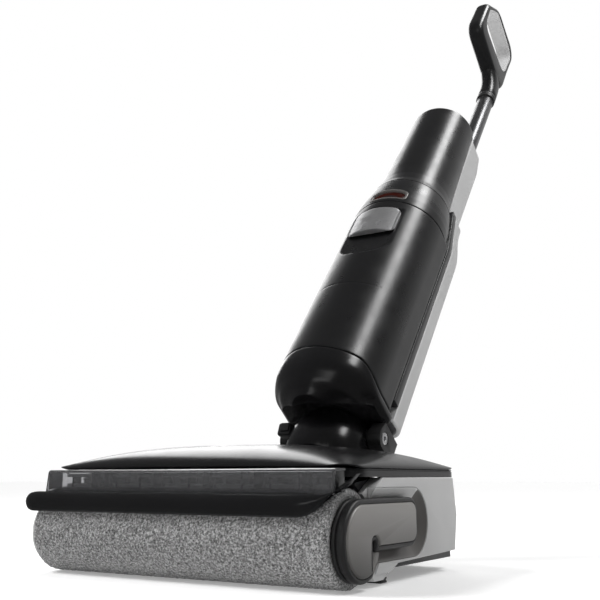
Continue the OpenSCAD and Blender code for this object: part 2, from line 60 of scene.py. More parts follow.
# Places taken from the frame
UP = Vector(JOINTS["body_swivel"]["axis"])
BACK = Vector((0, UP.z, -UP.y))
SWIVEL_S, SWIVEL_Y = 96, 31
ORIGIN = Vector(JOINTS["body_swivel"]["pos_m"]) - UP * SWIVEL_S * MM - BACK * SWIVEL_Y * MM
AXES = Matrix((Vector((1, 0, 0)), BACK, UP)).transposed().to_4x4()
BODY = Matrix.Translation(ORIGIN) @ AXES @ Matrix.Scale(MM, 4)
ROLLER_Y = JOINTS["roller_spin"]["pos_m"][1]
ROLLER_Z = JOINTS["roller_spin"]["pos_m"][2] / MM
HEAD = Matrix.Translation((0, ROLLER_Y, 0)) @ Matrix.Scale(MM, 4)
HEAD_BODIES = ("floor_head", "front_cover", "end_cap", "roller")

# Driving dimensions, the same as the part's
BODY_R = 57
SPINE_FRONT = 22
TANK_S0, TANK_S1 = 116.3, 358.7
SEAM = 0.3
NECK_S1 = 603
CLEAN_S0, CLEAN_S1 = 100, 437
HEAD_HALF, HEAD_FRONT, HEAD_BACK = 141, -13, 184
HEAD_MIDDLE = (0, 84)
SKIRT_Z, BROW_Z, DOME_Z = 74, 81, 100
PIVOT_Y, PIVOT_Z = 216.6, 110
TUBE_Y = 66
CAP_Z, CAP_R = 32.2, 27.4
PILE_R = ROLLER_Z
ROLLER_HALF = 134.4


# ---- camera, light and floor

def link_object(name, data):
    thing = bpy.data.objects.new(name, data)
    bpy.context.scene.collection.objects.link(thing)
    return thing


def make_camera():
    """The photo's view, from its vanishing directions."""
    camera = link_object("camera", bpy.data.cameras.new("camera"))
    camera.location = (0.41753, -0.91993, 0.0720)
    camera.rotation_euler = (math.radians(101.864), 0, math.radians(31.803))
    camera.data.lens = 51.40
    camera.data.sensor_width = 36
    camera.data.clip_start = 0.02
    bpy.context.scene.camera = camera


def make_light(name, place, target, size, power, along=(0, 0, 1)):
    """A rectangular light whose second side runs near the direction along."""
    light = link_object(name, bpy.data.lights.new(name, "AREA"))
    light.data.shape = "RECTANGLE"
    light.data.size, light.data.size_y = size
    light.data.energy = power
    light.location = place
    back = (Vector(place) - Vector(target)).normalized()
    side = Vector(along).cross(back).normalized()
    light.rotation_euler = Matrix((side, back.cross(side), back)).transposed().to_euler()


def make_world():
    """A white backdrop, and a dim studio, paler behind the object, for light and reflections."""
    world = bpy.data.worlds.new("studio")
    bpy.context.scene.world = world
    world.use_nodes = True
    tree = world.node_tree
    studio = add_ramp(tree, add_place(tree, "Generated", "Y"), gray(0.11), gray(0.62), 0.45, 0.97)
    seen = add_node(tree, "LightPath", {}).outputs["Is Camera Ray"]
    light = add_mix(tree, seen, studio, gray(1))
    feed(tree, tree.nodes["Background"], {"Color": light, "Strength": 1.0})


def make_sun():
    """Broad soft light from the left, which also makes the far floor as pale as the near floor."""
    sun = link_object("sun", bpy.data.lights.new("sun", "SUN"))
    sun.data.energy = 3.4
    sun.data.angle = math.radians(30)
    sun.visible_glossy = False
    sun.rotation_euler = Vector((-0.70, -0.30, 0.66)).to_track_quat("Z", "Y").to_euler()


def make_floor():
    mesh = bpy.data.meshes.new("floor")
    half = 30
    corners = [(-half, -half, 0), (half, -half, 0), (half, half, 0), (-half, half, 0)]
    mesh.from_pydata(corners, [], [(0, 1, 2, 3)])
    floor = link_object("floor", mesh)
    pale = plastic("floor_paint", gray(0.90), 0.6, grain=6, bump=0, spread=0.01, wear=False)
    glow = {"Emission Color": (1, 1, 1, 1), "Emission Strength": 0.26}
    feed(pale.node_tree, pale.node_tree.nodes["Principled BSDF"], glow)
    mesh.materials.append(pale)
    floor.visible_glossy = False


# ---- materials

def new_material(name):
    """A new material, with its node tree and its Principled shader."""
    material = bpy.data.materials.new(name)
    material.use_nodes = True
    return material, material.node_tree, material.node_tree.nodes["Principled BSDF"]


def feed(tree, node, inputs):
    """Gives each input of a node its value, or joins it to the output that drives it."""
    for key, value in inputs.items():
        if isinstance(value, bpy.types.NodeSocket):
            tree.links.new(value, node.inputs[key])
        else:
            node.inputs[key].default_value = value


def add_node(tree, kind, inputs, **settings):
    node = tree.nodes.new("ShaderNode" + kind)
    for key, value in settings.items():
        setattr(node, key, value)
    feed(tree, node, inputs)
    return node


def add_place(tree, kind, axis=None):
    """Coordinates of one kind, or one axis of them."""
    place = add_node(tree, "TexCoord", {}).outputs[kind]
    return add_node(tree, "SeparateXYZ", {0: place}).outputs[axis] if axis else place


def add_noise(tree, scale, detail=2.0, place=None):
    """Noise in the frame's metres, so that its grain has a real size."""
    place = place or add_place(tree, "Object")
    return add_node(tree, "TexNoise", {"Scale": scale, "Detail": detail, "Vector": place}).outputs["Fac"]


def add_ramp(tree, source, low, high, start=0.3, end=0.7, middle=None):
    ramp = add_node(tree, "ValToRGB", {0: source})
    elements = ramp.color_ramp.elements
    elements[0].position = start
    elements[0].color = (*low, 1)
    elements[1].position = end
    elements[1].color = (*high, 1)
    if middle:
        elements.new((start + end) / 2).color = (*middle, 1)
    return ramp.outputs[0]


def add_mix(tree, factor, first, second):
    """Mixes an output with a colour."""
    inputs = {"Factor": factor, "A": first, "B": (*second, 1)}
    return add_node(tree, "Mix", inputs, data_type="RGBA").outputs["Result"]


def add_bump(tree, bsdf, height, strength, distance):
    bump = add_node(tree, "Bump", {"Strength": strength, "Distance": distance, "Height": height})
    feed(tree, bsdf, {"Normal": bump.outputs["Normal"]})


def gray(value):
    return (value, value, value)


def scaled(colour, factor, lift=0.0):
    return tuple(min(1, c * factor + lift) for c in colour)


def plastic(name, colour, roughness, grain=900, bump=0.08, spread=0.12, metallic=0.0, wear=True, gleam=0.5):
    """Moulded plastic: mottled colour, uneven gloss, fine moulding grain and pale worn edges."""
    material, tree, bsdf = new_material(name)
    tint = add_ramp(tree, add_noise(tree, 14, 4), scaled(colour, 1 - spread), scaled(colour, 1 + spread))
    if wear:
        edges = add_node(tree, "NewGeometry", {}).outputs["Pointiness"]
        convex = add_ramp(tree, edges, gray(0), gray(1), 0.52, 0.62)
        tint = add_mix(tree, convex, tint, scaled(colour, 1.5, 0.012))
    gloss = add_ramp(tree, add_noise(tree, 45, 3), gray(roughness * 0.88), gray(min(1, roughness * 1.12)))
    if bump:
        add_bump(tree, bsdf, add_noise(tree, grain, 3), bump, 0.0003)
    feed(tree, bsdf, {"Base Color": tint, "Roughness": gloss})
    feed(tree, bsdf, {"Metallic": metallic, "Specular IOR Level": gleam})
    return material


def painted_shade_gradient(name):
    """The end cap's satin lacquer, with painted light and shade: warm gray above, fading to charcoal at the floor.
    """
    material, tree, bsdf = new_material(name)
    # Painted light and shade: the colour is lighter with height and darker towards the floor.
    rise = {"From Min": 0.004, "From Max": 0.060, "Value": add_place(tree, "Object", "Z")}
    height = add_node(tree, "MapRange", rise).outputs[0]
    speckle = add_noise(tree, 1400, 3)
    blend = add_node(tree, "Math", {0: speckle, 1: 0.12, 2: height}, operation="MULTIPLY_ADD").outputs[0]
    tint = add_ramp(tree, blend, (0.045, 0.044, 0.042), (0.30, 0.29, 0.28), 0.06, 1.0)
    add_bump(tree, bsdf, speckle, 0.05, 0.0002)
    feed(tree, bsdf, {"Base Color": tint, "Metallic": 0.3, "Roughness": 0.38})
    return material


def brushed(name, colour, roughness, stretch):
    """Metal with drawn or brushed lines along one direction."""
    material, tree, bsdf = new_material(name)
    place = add_node(tree, "Mapping", {"Scale": stretch, "Vector": add_place(tree, "Object")}).outputs[0]
    lines = add_noise(tree, 30, 5, place)
    tint = add_ramp(tree, lines, scaled(colour, 0.82), colour)
    gloss = add_ramp(tree, lines, gray(roughness * 0.8), gray(roughness * 1.25))
    add_bump(tree, bsdf, lines, 0.12, 0.0002)
    feed(tree, bsdf, {"Base Color": tint, "Roughness": gloss, "Metallic": 0.9})
    return material


def rubber(name, colour):
    """Dull rubber with a fine sandy skin."""
    material, tree, bsdf = new_material(name)
    specks = add_noise(tree, 1600, 4)
    add_bump(tree, bsdf, specks, 0.3, 0.0002)
    tint = add_ramp(tree, specks, scaled(colour, 0.7), scaled(colour, 1.4))
    feed(tree, bsdf, {"Base Color": tint, "Roughness": 0.7})
    return material


def smoked_plastic(name, colour, clearness):
    """Clear plastic tinted smoky black, with faint moulding waves."""
    material, tree, bsdf = new_material(name)
    waves = add_noise(tree, 22, 2)
    add_bump(tree, bsdf, waves, 0.03, 0.0006)
    tint = add_ramp(tree, waves, scaled(colour, 0.85), colour)
    feed(tree, bsdf, {"Base Color": tint, "Roughness": 0.06, "IOR": 1.45, "Transmission Weight": clearness})
    return material


def pile_fibre(name):
    """Salt and pepper microfibre: light and dark yarn flecks over a tufted bump."""
    material, tree, bsdf = new_material(name)
    flecks = add_noise(tree, 620, 3)
    fine = add_noise(tree, 1500, 2)
    coarse = add_node(tree, "Math", {0: flecks, 1: 0.55}, operation="MULTIPLY").outputs[0]
    yarn = add_node(tree, "Math", {0: fine, 1: 0.45, 2: coarse}, operation="MULTIPLY_ADD").outputs[0]
    tint = add_ramp(tree, yarn, gray(0.03), gray(0.50), 0.38, 0.62, middle=gray(0.20))
    add_bump(tree, bsdf, yarn, 0.9, 0.0012)
    feed(tree, bsdf, {"Base Color": tint, "Roughness": 0.95, "Sheen Weight": 0.25})
    return material


def pleated_paper(name):
    """White filter paper with a fibrous bump."""
    material, tree, bsdf = new_material(name)
    fibres = add_noise(tree, 900, 6)
    add_bump(tree, bsdf, fibres, 0.5, 0.0004)
    tint = add_ramp(tree, fibres, (0.62, 0.62, 0.6), (0.8, 0.8, 0.78))
    feed(tree, bsdf, {"Base Color": tint, "Roughness": 0.9})
    return material


make_camera()
MAT = {
    "gloss_black": plastic("gloss_black", (0.006, 0.006, 0.0065), 0.22, bump=0.01),
    "smoked": smoked_plastic("smoked", (0.32, 0.32, 0.33), 0.85),
    "body_black": plastic("body_black", (0.007, 0.007, 0.0075), 0.30, bump=0.03, gleam=0.6),
    "frame_black": plastic("frame_black", (0.014, 0.014, 0.0145), 0.42, bump=0.12),
    "side_gray": plastic("side_gray", gray(0.43), 0.48, bump=0.16, spread=0.04),
    "cap_gray": plastic("cap_gray", (0.125, 0.120, 0.115), 0.34, spread=0.06, metallic=0.35),
    "tank_gray": plastic("tank_gray", gray(0.42), 0.5, bump=0.14, spread=0.03),
    "soft_rubber": rubber("soft_rubber", gray(0.030)),
    "tyre_rubber": rubber("tyre_rubber", gray(0.022)),
    "inner_plastic": plastic("inner_plastic", (0.16, 0.16, 0.165), 0.5, bump=0.15),
    "steel": brushed("steel", (0.60, 0.60, 0.61), 0.28, (2, 40, 40)),
    "motor_steel": brushed("motor_steel", (0.50, 0.50, 0.51), 0.34, (2, 40, 40)),
    "tube_metal": brushed("tube_metal", (0.16, 0.16, 0.165), 0.30, (60, 4, 4)),
    "silver_button": brushed("silver_button", (0.72, 0.72, 0.73), 0.40, (4, 60, 60)),
    "copper": plastic("copper", (0.030, 0.004, 0.002), 0.45, bump=0.02, spread=0.3, gleam=0.2),
    "battery_wrap": plastic("battery_wrap", (0.06, 0.18, 0.36), 0.3),
    "board_green": plastic("board_green", (0.02, 0.16, 0.07), 0.3, grain=500),
    "filter_white": pleated_paper("filter_white"),
    "roller_pile": pile_fibre("roller_pile"),
}
# Finishes that share another finish's slot in the record
VARIANTS = {
    "copper_lip": ("copper", plastic("copper_lip", (0.62, 0.20, 0.06), 0.22, bump=0.02, metallic=0.7)),
    # The end cap panel's paint is lighter at the top and darker towards the floor: painted light and shade.
    "cap_painted_shade": ("cap_gray", painted_shade_gradient("cap_painted_shade")),
}


# ---- mesh tools

def add_piece(name, shape, body, slot, replaces=(), sharp=0):
    """Makes one piece from local points and faces, smooth up to the angle sharp, riding on its body."""
    matrix = HEAD if body in HEAD_BODIES else BODY
    mesh = bpy.data.meshes.new(name)
    mesh.from_pydata([tuple(matrix @ Vector(v)) for v in shape[0]], [], shape[1])
    bm = bmesh.new()
    bm.from_mesh(mesh)
    bmesh.ops.remove_doubles(bm, verts=bm.verts, dist=1e-6)
    bmesh.ops.recalc_face_normals(bm, faces=bm.faces)
    bm.to_mesh(mesh)
    bm.free()
    piece = link_object(name, mesh)
    paint(piece, slot)
    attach(piece, body)
    if replaces:
        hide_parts(*replaces)
    return crease(piece, sharp) if sharp else piece


def paint(piece, finish):
    """Gives a piece its only material and smooth shading."""
    slot, material = VARIANTS[finish] if finish in VARIANTS else (finish, MAT[finish])
    piece.data.materials.append(material)
    for polygon in piece.data.polygons:
        polygon.use_smooth = True


def crease(piece, degrees):
    """Keeps edges sharper than this angle crisp."""
    bm = bmesh.new()
    bm.from_mesh(piece.data)
    for edge in bm.edges:
        edge.smooth = len(edge.link_faces) == 2 and edge.calc_face_angle(0) < math.radians(degrees)
    bm.to_mesh(piece.data)
    bm.free()
    return piece


def soften(piece, width, segments=3, degrees=35):
    """Rounds every edge sharper than this angle, width in millimetres."""
    bevel = piece.modifiers.new("bevel", "BEVEL")
    bevel.width = width * MM
    bevel.segments = segments
    bevel.limit_method = "ANGLE"
    bevel.angle_limit = math.radians(degrees)
    bevel.harden_normals = True
    bevel.use_clamp_overlap = True
    return piece


def dress(node, slot, width, segments=2, degrees=35):
    """Gives a CAD node its finish and rounds its edges, without changing its mesh."""
    piece = NODES[node]
    piece.data.materials.clear()
    paint(piece, slot)
    piece.modifiers.new("weld", "WELD").merge_threshold = 1e-6
    flat = piece.modifiers.new("flatten", "DECIMATE")
    flat.decimate_type = "DISSOLVE"
    flat.angle_limit = math.radians(0.8)
    soften(piece, width, segments, degrees)


def loft(loops, ends=True):
    """Joins loops of equal length into a surface, with its ends filled. Returns points and faces."""
    count = len(loops[0])
    assert all(len(loop) == count for loop in loops), [len(loop) for loop in loops]
    verts = [p for loop in loops for p in loop]
    faces = []
    for i in range(len(loops) - 1):
        low, high = i * count, (i + 1) * count
        faces += [(low + j, low + (j + 1) % count, high + (j + 1) % count, high + j) for j in range(count)]
    if ends:
        faces.append(tuple(reversed(range(count))))
        faces.append(tuple((len(loops) - 1) * count + j for j in range(count)))
    return verts, faces


def ring_loft(loops):
    """Joins closed loops into a ring that also closes from the last loop to the first."""
    verts, faces = loft(loops, ends=False)
    count, last = len(loops[0]), (len(loops) - 1) * len(loops[0])
    faces += [(last + j, last + (j + 1) % count, (j + 1) % count, j) for j in range(count)]
    return verts, faces


def lathe(profile, segments=96):
    """Turns (radius, height) points round the local z axis; the profile is closed."""
    return ring_loft([[(r * math.cos(a), r * math.sin(a), z) for r, z in profile] for a in turns(segments)])


def turns(count):
    """Evenly spaced angles round a circle."""
    return [2 * math.pi * k / count for k in range(count)]


def arc(centre, radius, start, end, steps):
    """Points on an arc from start to end, in degrees."""
    angles = [math.radians(start + (end - start) * i / steps) for i in range(steps + 1)]
    return [(centre[0] + radius * math.cos(a), centre[1] + radius * math.sin(a)) for a in angles]


def inset(loop, distance):
    """Moves a closed 2D loop inwards; the loop runs anticlockwise."""
    inner = []
    for i, point in enumerate(loop):
        before = Vector(point) - Vector(loop[i - 1])
        after = Vector(loop[(i + 1) % len(loop)]) - Vector(point)
        before.normalize()
        after.normalize()
        normal = Vector((-before.y - after.y, before.x + after.x))
        length = normal.length
        normal.normalize()
        reach = distance / max(0.55, length / 2)
        inner.append((point[0] + normal.x * reach, point[1] + normal.y * reach))
    return inner


def smooth(x):
    x = max(0.0, min(1.0, x))
    return x * x * (3 - 2 * x)


def spaced(low, high, count):
    return [low + (high - low) * i / count for i in range(count + 1)]


def between(low, high, step):
    return spaced(low, high, max(1, round((high - low) / step)))


def divided(loop, step):
    """A closed 2D loop with its straight runs divided into parts of about this length."""
    dense = []
    for i, (x, y) in enumerate(loop):
        after = loop[(i + 1) % len(loop)]
        count = max(1, int(math.dist((x, y), after) / step))
        dense += [(x + (after[0] - x) * k / count, y + (after[1] - y) * k / count) for k in range(count)]
    return dense


def profile_at(points, s):
    """Radius at height s on straight runs between (radius, height) points."""
    if s <= points[0][1]:
        return points[0][0]
    for (r0, s0), (r1, s1) in zip(points, points[1:]):
        if s <= s1:
            t = (s - s0) / (s1 - s0)
            return r0 + (r1 - r0) * t
    return points[-1][0]


def rounded_box(size, radius):
    """A box about the local origin with rounded edges, as points and faces."""
    bm = bmesh.new()
    bmesh.ops.create_cube(bm, size=1)
    bmesh.ops.scale(bm, vec=size, verts=bm.verts)
    bmesh.ops.bevel(bm, geom=list(bm.edges), offset=radius, segments=3, affect="EDGES", profile=0.5)
    bm.verts.index_update()
    verts = [tuple(v.co) for v in bm.verts]
    faces = [tuple(v.index for v in f.verts) for f in bm.faces]
    bm.free()
    return verts, faces


def moved(shape, matrix):
    verts, faces = shape
    return [tuple(matrix @ Vector(v)) for v in verts], faces


def box_at(size, radius, *place):
    """A box with rounded edges, set down by at."""
    return moved(rounded_box(size, radius), at(*place))


def joined(shapes):
    verts, faces = [], []
    for v, f in shapes:
        faces += [tuple(i + len(verts) for i in face) for face in f]
        verts += v
    return verts, faces


def at(x, y, z, turn=0):
    """A place, turned about the local x axis by degrees."""
    return Matrix.Translation((x, y, z)) @ Matrix.Rotation(math.radians(turn), 4, "X")


# ---- body: black shells

def body_loop(radius, back, corner=3.0, steps=112, relief=None, s=0.0, warp=None):
    """One closed loop round the body at height s: a round front, straight sides and a flat back.

    Turn is the angle from the front in degrees, carried on past 90 by the distance along the side.
    """
    points = []
    for turn in spaced(-90, 90, steps):
        deep = relief(turn, s) if relief else 0.0
        a = math.radians(turn)
        points.append(((radius - deep) * math.sin(a), -(radius - deep) * math.cos(a), turn))
    sides = spaced(0, back - corner, 7)[1:]
    points += [(radius, y, 90 + y) for y in sides]
    flat = radius - corner
    points += [(x, y, 90 + back) for x, y in arc((flat, back - corner), corner, 0, 90, 4)[1:]]
    points += [(x, back, 90 + back) for x in spaced(flat, -flat, 18)[1:]]
    points += [(x, y, -90 - back) for x, y in arc((-flat, back - corner), corner, 90, 180, 4)[1:]]
    points += [(-radius, y, -90 - y) for y in reversed(sides[:-1])]
    return [(x, y, s + (warp(turn, s) if warp else 0.0)) for x, y, turn in points]


def seam_wave(turn):
    """How far the seam under the dirty tank dips at each side."""
    return -15.0 * smooth((abs(turn) - 50) / 38)


def tank_relief(turn, s):
    """Depth of the hand recess round the release plate, and of the fine line across the tank."""
    half, low, high, floor_y, slope = 33, 263, 347.5, 48, 3.2
    line_s, line_depth = 211, 0.25
    a = math.radians(turn)
    across = BODY_R * math.sin(a)
    floor_depth = max(0.0, BODY_R - floor_y / max(0.2, math.cos(a)))
    lower = low + 26 * (abs(across) / half) ** 3
    edge = min(half - abs(across), s - lower, 2.6 * (high - s))
    depth = floor_depth * smooth(edge / slope)
    if -31 < turn < 43:
        depth += line_depth * math.exp(-((s - line_s - 0.002 * turn * turn) / 0.7) ** 2)
    return depth


def edge_inset(s, low, high, radius):
    """How far a rounded edge pulls in near the two ends of a shell."""
    near = min(s - low, high - s)
    if near >= radius:
        return 0.0
    return radius - math.sqrt(max(0.0, radius * radius - (radius - near) ** 2))


def make_dirty_tank():
    """The long black front, with levels close together where the relief is fine."""
    levels = [TANK_S0 + d for d in (0, 0.2, 0.5, 0.9, 1.4)]
    levels += between(TANK_S0 + 3, 200, 5) + between(202, 220, 0.9) + between(224, 258, 5)
    levels += between(260, 350, 1.3) + [352, 355]
    levels += [TANK_S1 - d for d in (1.4, 0.9, 0.5, 0.2, 0)]

    def warp(turn, s):
        return seam_wave(turn) * smooth(1 - (s - TANK_S0) / 60)
    loops = [body_loop(BODY_R - 9, SPINE_FRONT - 5, s=TANK_S0 + 1)]
    for s in levels:
        pull = edge_inset(s, TANK_S0, TANK_S1, 1.4)
        loops.append(body_loop(BODY_R - pull, SPINE_FRONT - SEAM, relief=tank_relief, s=s, warp=warp))
    add_piece("dirty_tank_skin", loft(loops), "dirty_tank", "body_black", ["dirty_tank_shell"], sharp=50)


def make_release_plate():
    """Silver plate with a rounded outline, a stepped edge and a grip of three raised bars."""
    outline = (arc((22, 311), 7, -90, 0, 6) + arc((20, 337), 9, 0, 90, 8) + arc((-20, 337), 9, 90, 180, 8)
               + arc((-22, 311), 7, 180, 270, 6))
    dense = divided(outline, 2)
    face_r = BODY_R + 0.5

    def layer(distance, drop):
        return [(x, -math.sqrt(face_r * face_r - x * x) + drop, s) for x, s in inset(dense, distance)]
    back = [(x, -50.9, s) for x, s in dense]
    loops = [back, layer(0, 1.3), layer(0.15, 0.6), layer(0.5, 0.2)]
    loops += [layer(d, 0.0) for d in (1.2, 3, 6, 9.5, 13, 16.5)]
    plate = loft(loops)
    add_piece("release_plate", plate, "tank_release", "silver_button", ["tank_release_button"], sharp=55)
    bars = []
    for i in range(3):
        bar = rounded_box((21, 1.2, 1.5), 0.35)
        verts = [(x, -math.sqrt(face_r * face_r - (x + 2) ** 2) + y, s) for x, y, s in bar[0]]
        bars.append(([(x + 2, y, s + 311 + 2.9 * i + 0.05 * x) for x, y, s in verts], bar[1]))
    add_piece("release_grip", joined(bars), "tank_release", "inner_plastic")


SHOULDER = [(57, 359.3), (56.6, 372), (55.2, 386), (53, 400), (51, 412)]
NECK = [(51, 412.3), (48.4, 422), (46.2, 436), (45, 452), (44.2, 480), (43.4, 520), (42, 603)]
SLOT_S, SLOT_TURN, SLOT_HALF_W, SLOT_HALF_H = 374.5, 5.5, 22.5, 9.8


def slot_distance(turn, s):
    """Distance inside the slot's outline, which is flat below and arched above with rounded ends."""
    across = 56 * math.sin(math.radians(turn - SLOT_TURN))
    arch = SLOT_HALF_H - 3.0 * (across / SLOT_HALF_W) ** 2
    dx = SLOT_HALF_W - abs(across)
    dz = min(s - SLOT_S + SLOT_HALF_H, SLOT_S + arch - s)
    corner = 5.0
    if dx < corner and dz < corner:
        return corner - math.hypot(corner - dx, corner - dz)
    return min(dx, dz)


def neck_loop(radius, s, clip, relief=None):
    """A round loop, cut flat behind y = clip."""
    points = []
    for a in turns(240):
        turn = math.degrees(a) if a <= math.pi else math.degrees(a) - 360
        r = radius - (relief(turn, s) if relief else 0.0)
        y = -r * math.cos(a)
        points.append((r * math.sin(a), min(y, clip), s))
    return points


def make_upper_shells():
    """The shoulder with the slot sunk in it, the neck above it, and the display in the neck's end."""
    slot_depth = 3.2

    def relief(turn, s):
        return slot_depth * smooth(slot_distance(turn, s) / 0.9) if abs(turn) < 60 else 0.0
    low, high = SHOULDER[0][1], SHOULDER[-1][1]
    levels = [low + d for d in (0, 0.3, 0.8, 1.4)] + between(363, 390, 0.8) + between(392, 410, 2)
    levels += [high - d for d in (1.0, 0.6, 0.2, 0)]
    loops = [neck_loop(profile_at(SHOULDER, s) - edge_inset(s, low, high, 1.0), s, SPINE_FRONT - SEAM, relief)
             for s in levels]
    add_piece("upper_skin", loft(loops), "main_body", "body_black", ["upper_housing"], sharp=50)

    low, high = NECK[0][1], NECK[-1][1]
    no_clip = 99
    levels = [low + d for d in (0, 0.2, 0.6, 1.0)] + between(414, 437, 1.5)
    loops = [neck_loop(profile_at(NECK, s) - edge_inset(s, low, high, 1.0), s, SPINE_FRONT) for s in levels]
    levels = between(437.2, 598, 4) + [high - d for d in (3, 2, 1.2, 0.5, 0)]
    loops += [neck_loop(profile_at(NECK, s) - edge_inset(s, low, high, 3.0), s, no_clip) for s in levels]
    loops += [neck_loop(35.5, high, no_clip), neck_loop(34.8, high - 0.8, no_clip)]
    add_piece("neck_skin", loft(loops), "main_body", "body_black", ["neck_shell"], sharp=50)
    screen = [(33.9, -2.4), (34.4, -1.2), (34.2, -0.4), (33.4, -0.1), (0.01, 0.0), (0.01, -2.4)]
    lens = lathe([(r, z + NECK_S1 - 0.2) for r, z in screen], 120)
    add_piece("display_glass", lens, "main_body", "gloss_black", ["display_lens"], sharp=50)


def make_slot():
    """Gray bezel round the slot, its dark red floor and the copper lip along its lower edge."""
    def outline(grow):
        w, h, c = SLOT_HALF_W + grow, SLOT_HALF_H + grow, 5 + grow * 0.5
        lower = arc((w - c, -h + c), c, -90, 0, 8)
        upper = arc((w - c, h - c - 2.6), c, 0, 78, 8)
        crown = [(x, h - 0.3 - 2.9 * (x / w) ** 2) for x in spaced(w - c - 2, -(w - c - 2), 11)]
        bottom = [(x, -h) for x in spaced(-(w - c), w - c, 11)]
        left = [(-x, z) for x, z in reversed(lower + upper)]
        return bottom[:-1] + lower + upper + crown + left[:-1]

    def place(loop, out):
        points = []
        for across, height in loop:
            s = SLOT_S + height
            a = math.asin(across / 57) + math.radians(SLOT_TURN)
            r = profile_at(SHOULDER, s) + out
            points.append((r * math.sin(a), -r * math.cos(a), s))
        return points

    def layers(*steps):
        return [place(outline(grow), out) for grow, out in steps]
    bezel = layers((0.7, -1.0), (0.7, 0.25), (0.3, 0.55), (-0.9, 0.5), (-1.7, 0.1), (-2.1, -1.4),
                   (-2.1, -3.1))
    add_piece("slot_frame", ring_loft(bezel), "main_body", "cap_gray", ["slot_bezel"], sharp=55)
    window = layers((-1.9, -4.2), (-1.9, -2.7), (-2.6, -2.3), (-6, -2.2))
    add_piece("slot_window", loft(window), "main_body", "copper", ["slot_lens"], sharp=55)
    lip, lip_r, lip_height, lip_out = [], 0.55, 2.9 - SLOT_HALF_H, -1.7
    for across in between(-16.5, 16.5, 1.1):
        lip.append([place([(across, lip_height + lip_r * math.cos(a))], lip_r * math.sin(a) + lip_out)[0]
                    for a in turns(8)])
    add_piece("slot_lip", loft(lip), "main_body", "copper_lip")


# The bowl's half width, reach to the front and height, downwards
HOUSING = [(57, 57, 115.7), (57, 57, 108), (56.4, 56.6, 102), (54.8, 55.6, 97), (51.6, 53.4, 91.5),
           (47, 50.4, 86), (43.5, 47.6, 81), (38, 44.6, 77), (34, 43, 75), (29, 41, 71.5), (25, 39.6, 69),
           (23.5, 38.8, 68.2)]


def make_lower_housing():
    """The glossy bowl and the ledge behind it, with the joint's round pocket cut out of both."""
    def housing_at(s):
        for (w0, f0, s0), (w1, f1, s1) in zip(HOUSING, HOUSING[1:]):
            if s >= s1:
                t = (s0 - s) / (s0 - s1)
                return w0 + (w1 - w0) * t, f0 + (f1 - f0) * t
        return HOUSING[-1][:2]

    def warp(turn, s):
        return seam_wave(turn) * smooth((s - 85) / 30.7)
    loops = [body_loop(BODY_R - 9, 27, corner=6, steps=80, s=99)]
    top = HOUSING[0][2]
    levels = [top, top - 0.3, top - 0.8, top - 1.6] + spaced(112, 94, 6) + spaced(91.5, 86.5, 2)
    for s in levels + spaced(84, 70, 7) + [69, 68.2]:
        width, front = housing_at(s)
        pull = edge_inset(s, 0, top, 1.6)
        loop = body_loop(BODY_R, 32, corner=6, steps=80, s=s, warp=warp)
        scale_x, scale_y = (width - pull) / BODY_R, (front - pull) / BODY_R
        loops.append([(x * scale_x, y * (scale_y if y < 0 else 1), z) for x, y, z in loop])
    bowl = add_piece("housing_bowl", loft(loops), "main_body", "gloss_black", ["lower_housing"])
    ledge_loops = []
    ledge_high = CLEAN_S0 - SEAM
    for s, pull in ((86.5, 6), (89, 3.5), (92, 1.6), (96, 0.5), (ledge_high - 0.8, 0), (ledge_high, 0.8)):
        box = arc((47 - pull, 44 - pull), 8, 0, 90, 6) + arc((-47 + pull, 44 - pull), 8, 90, 180, 6)
        ledge_loops.append([(x, y, s) for x, y in box + [(-52 + pull, 20), (52 - pull, 20)]])
    ledge = add_piece("housing_ledge", loft(ledge_loops), "main_body", "gloss_black")
    pocket = [(x, y + SWIVEL_Y) for x, y in arc((0, 0), 59, 0, 357, 119)]
    post = loft([[(x, y, s) for x, y in pocket] for s in (40, 89.5)])
    cutter = add_piece("cutter", post, "main_body", "gloss_black")
    for piece in (bowl, ledge):
        cut = piece.modifiers.new("pocket", "BOOLEAN")
        cut.object = cutter
        cut.operation = "DIFFERENCE"
        cut.solver = "EXACT"
        apply_modifiers(piece)
        crease(soften(piece, 1.0, 3, 45), 50)
        apply_modifiers(piece)
    bpy.data.objects.remove(cutter)
    ring = [(29, 85), (29, 89.6), (25.1, 89.6), (25.1, 86), (25.8, 84.6), (27.5, 84.2)]
    add_piece("swivel_collar", moved(lathe(ring), at(0, SWIVEL_Y, 0)), "main_body", "frame_black")


def apply_modifiers(piece):
    """Bakes a piece's modifiers into its mesh."""
    bpy.context.view_layer.update()
    result = bpy.data.meshes.new_from_object(piece.evaluated_get(bpy.context.evaluated_depsgraph_get()))
    piece.modifiers.clear()
    old = piece.data
    piece.data = result
    bpy.data.meshes.remove(old)


# ---- body: gray back and handle

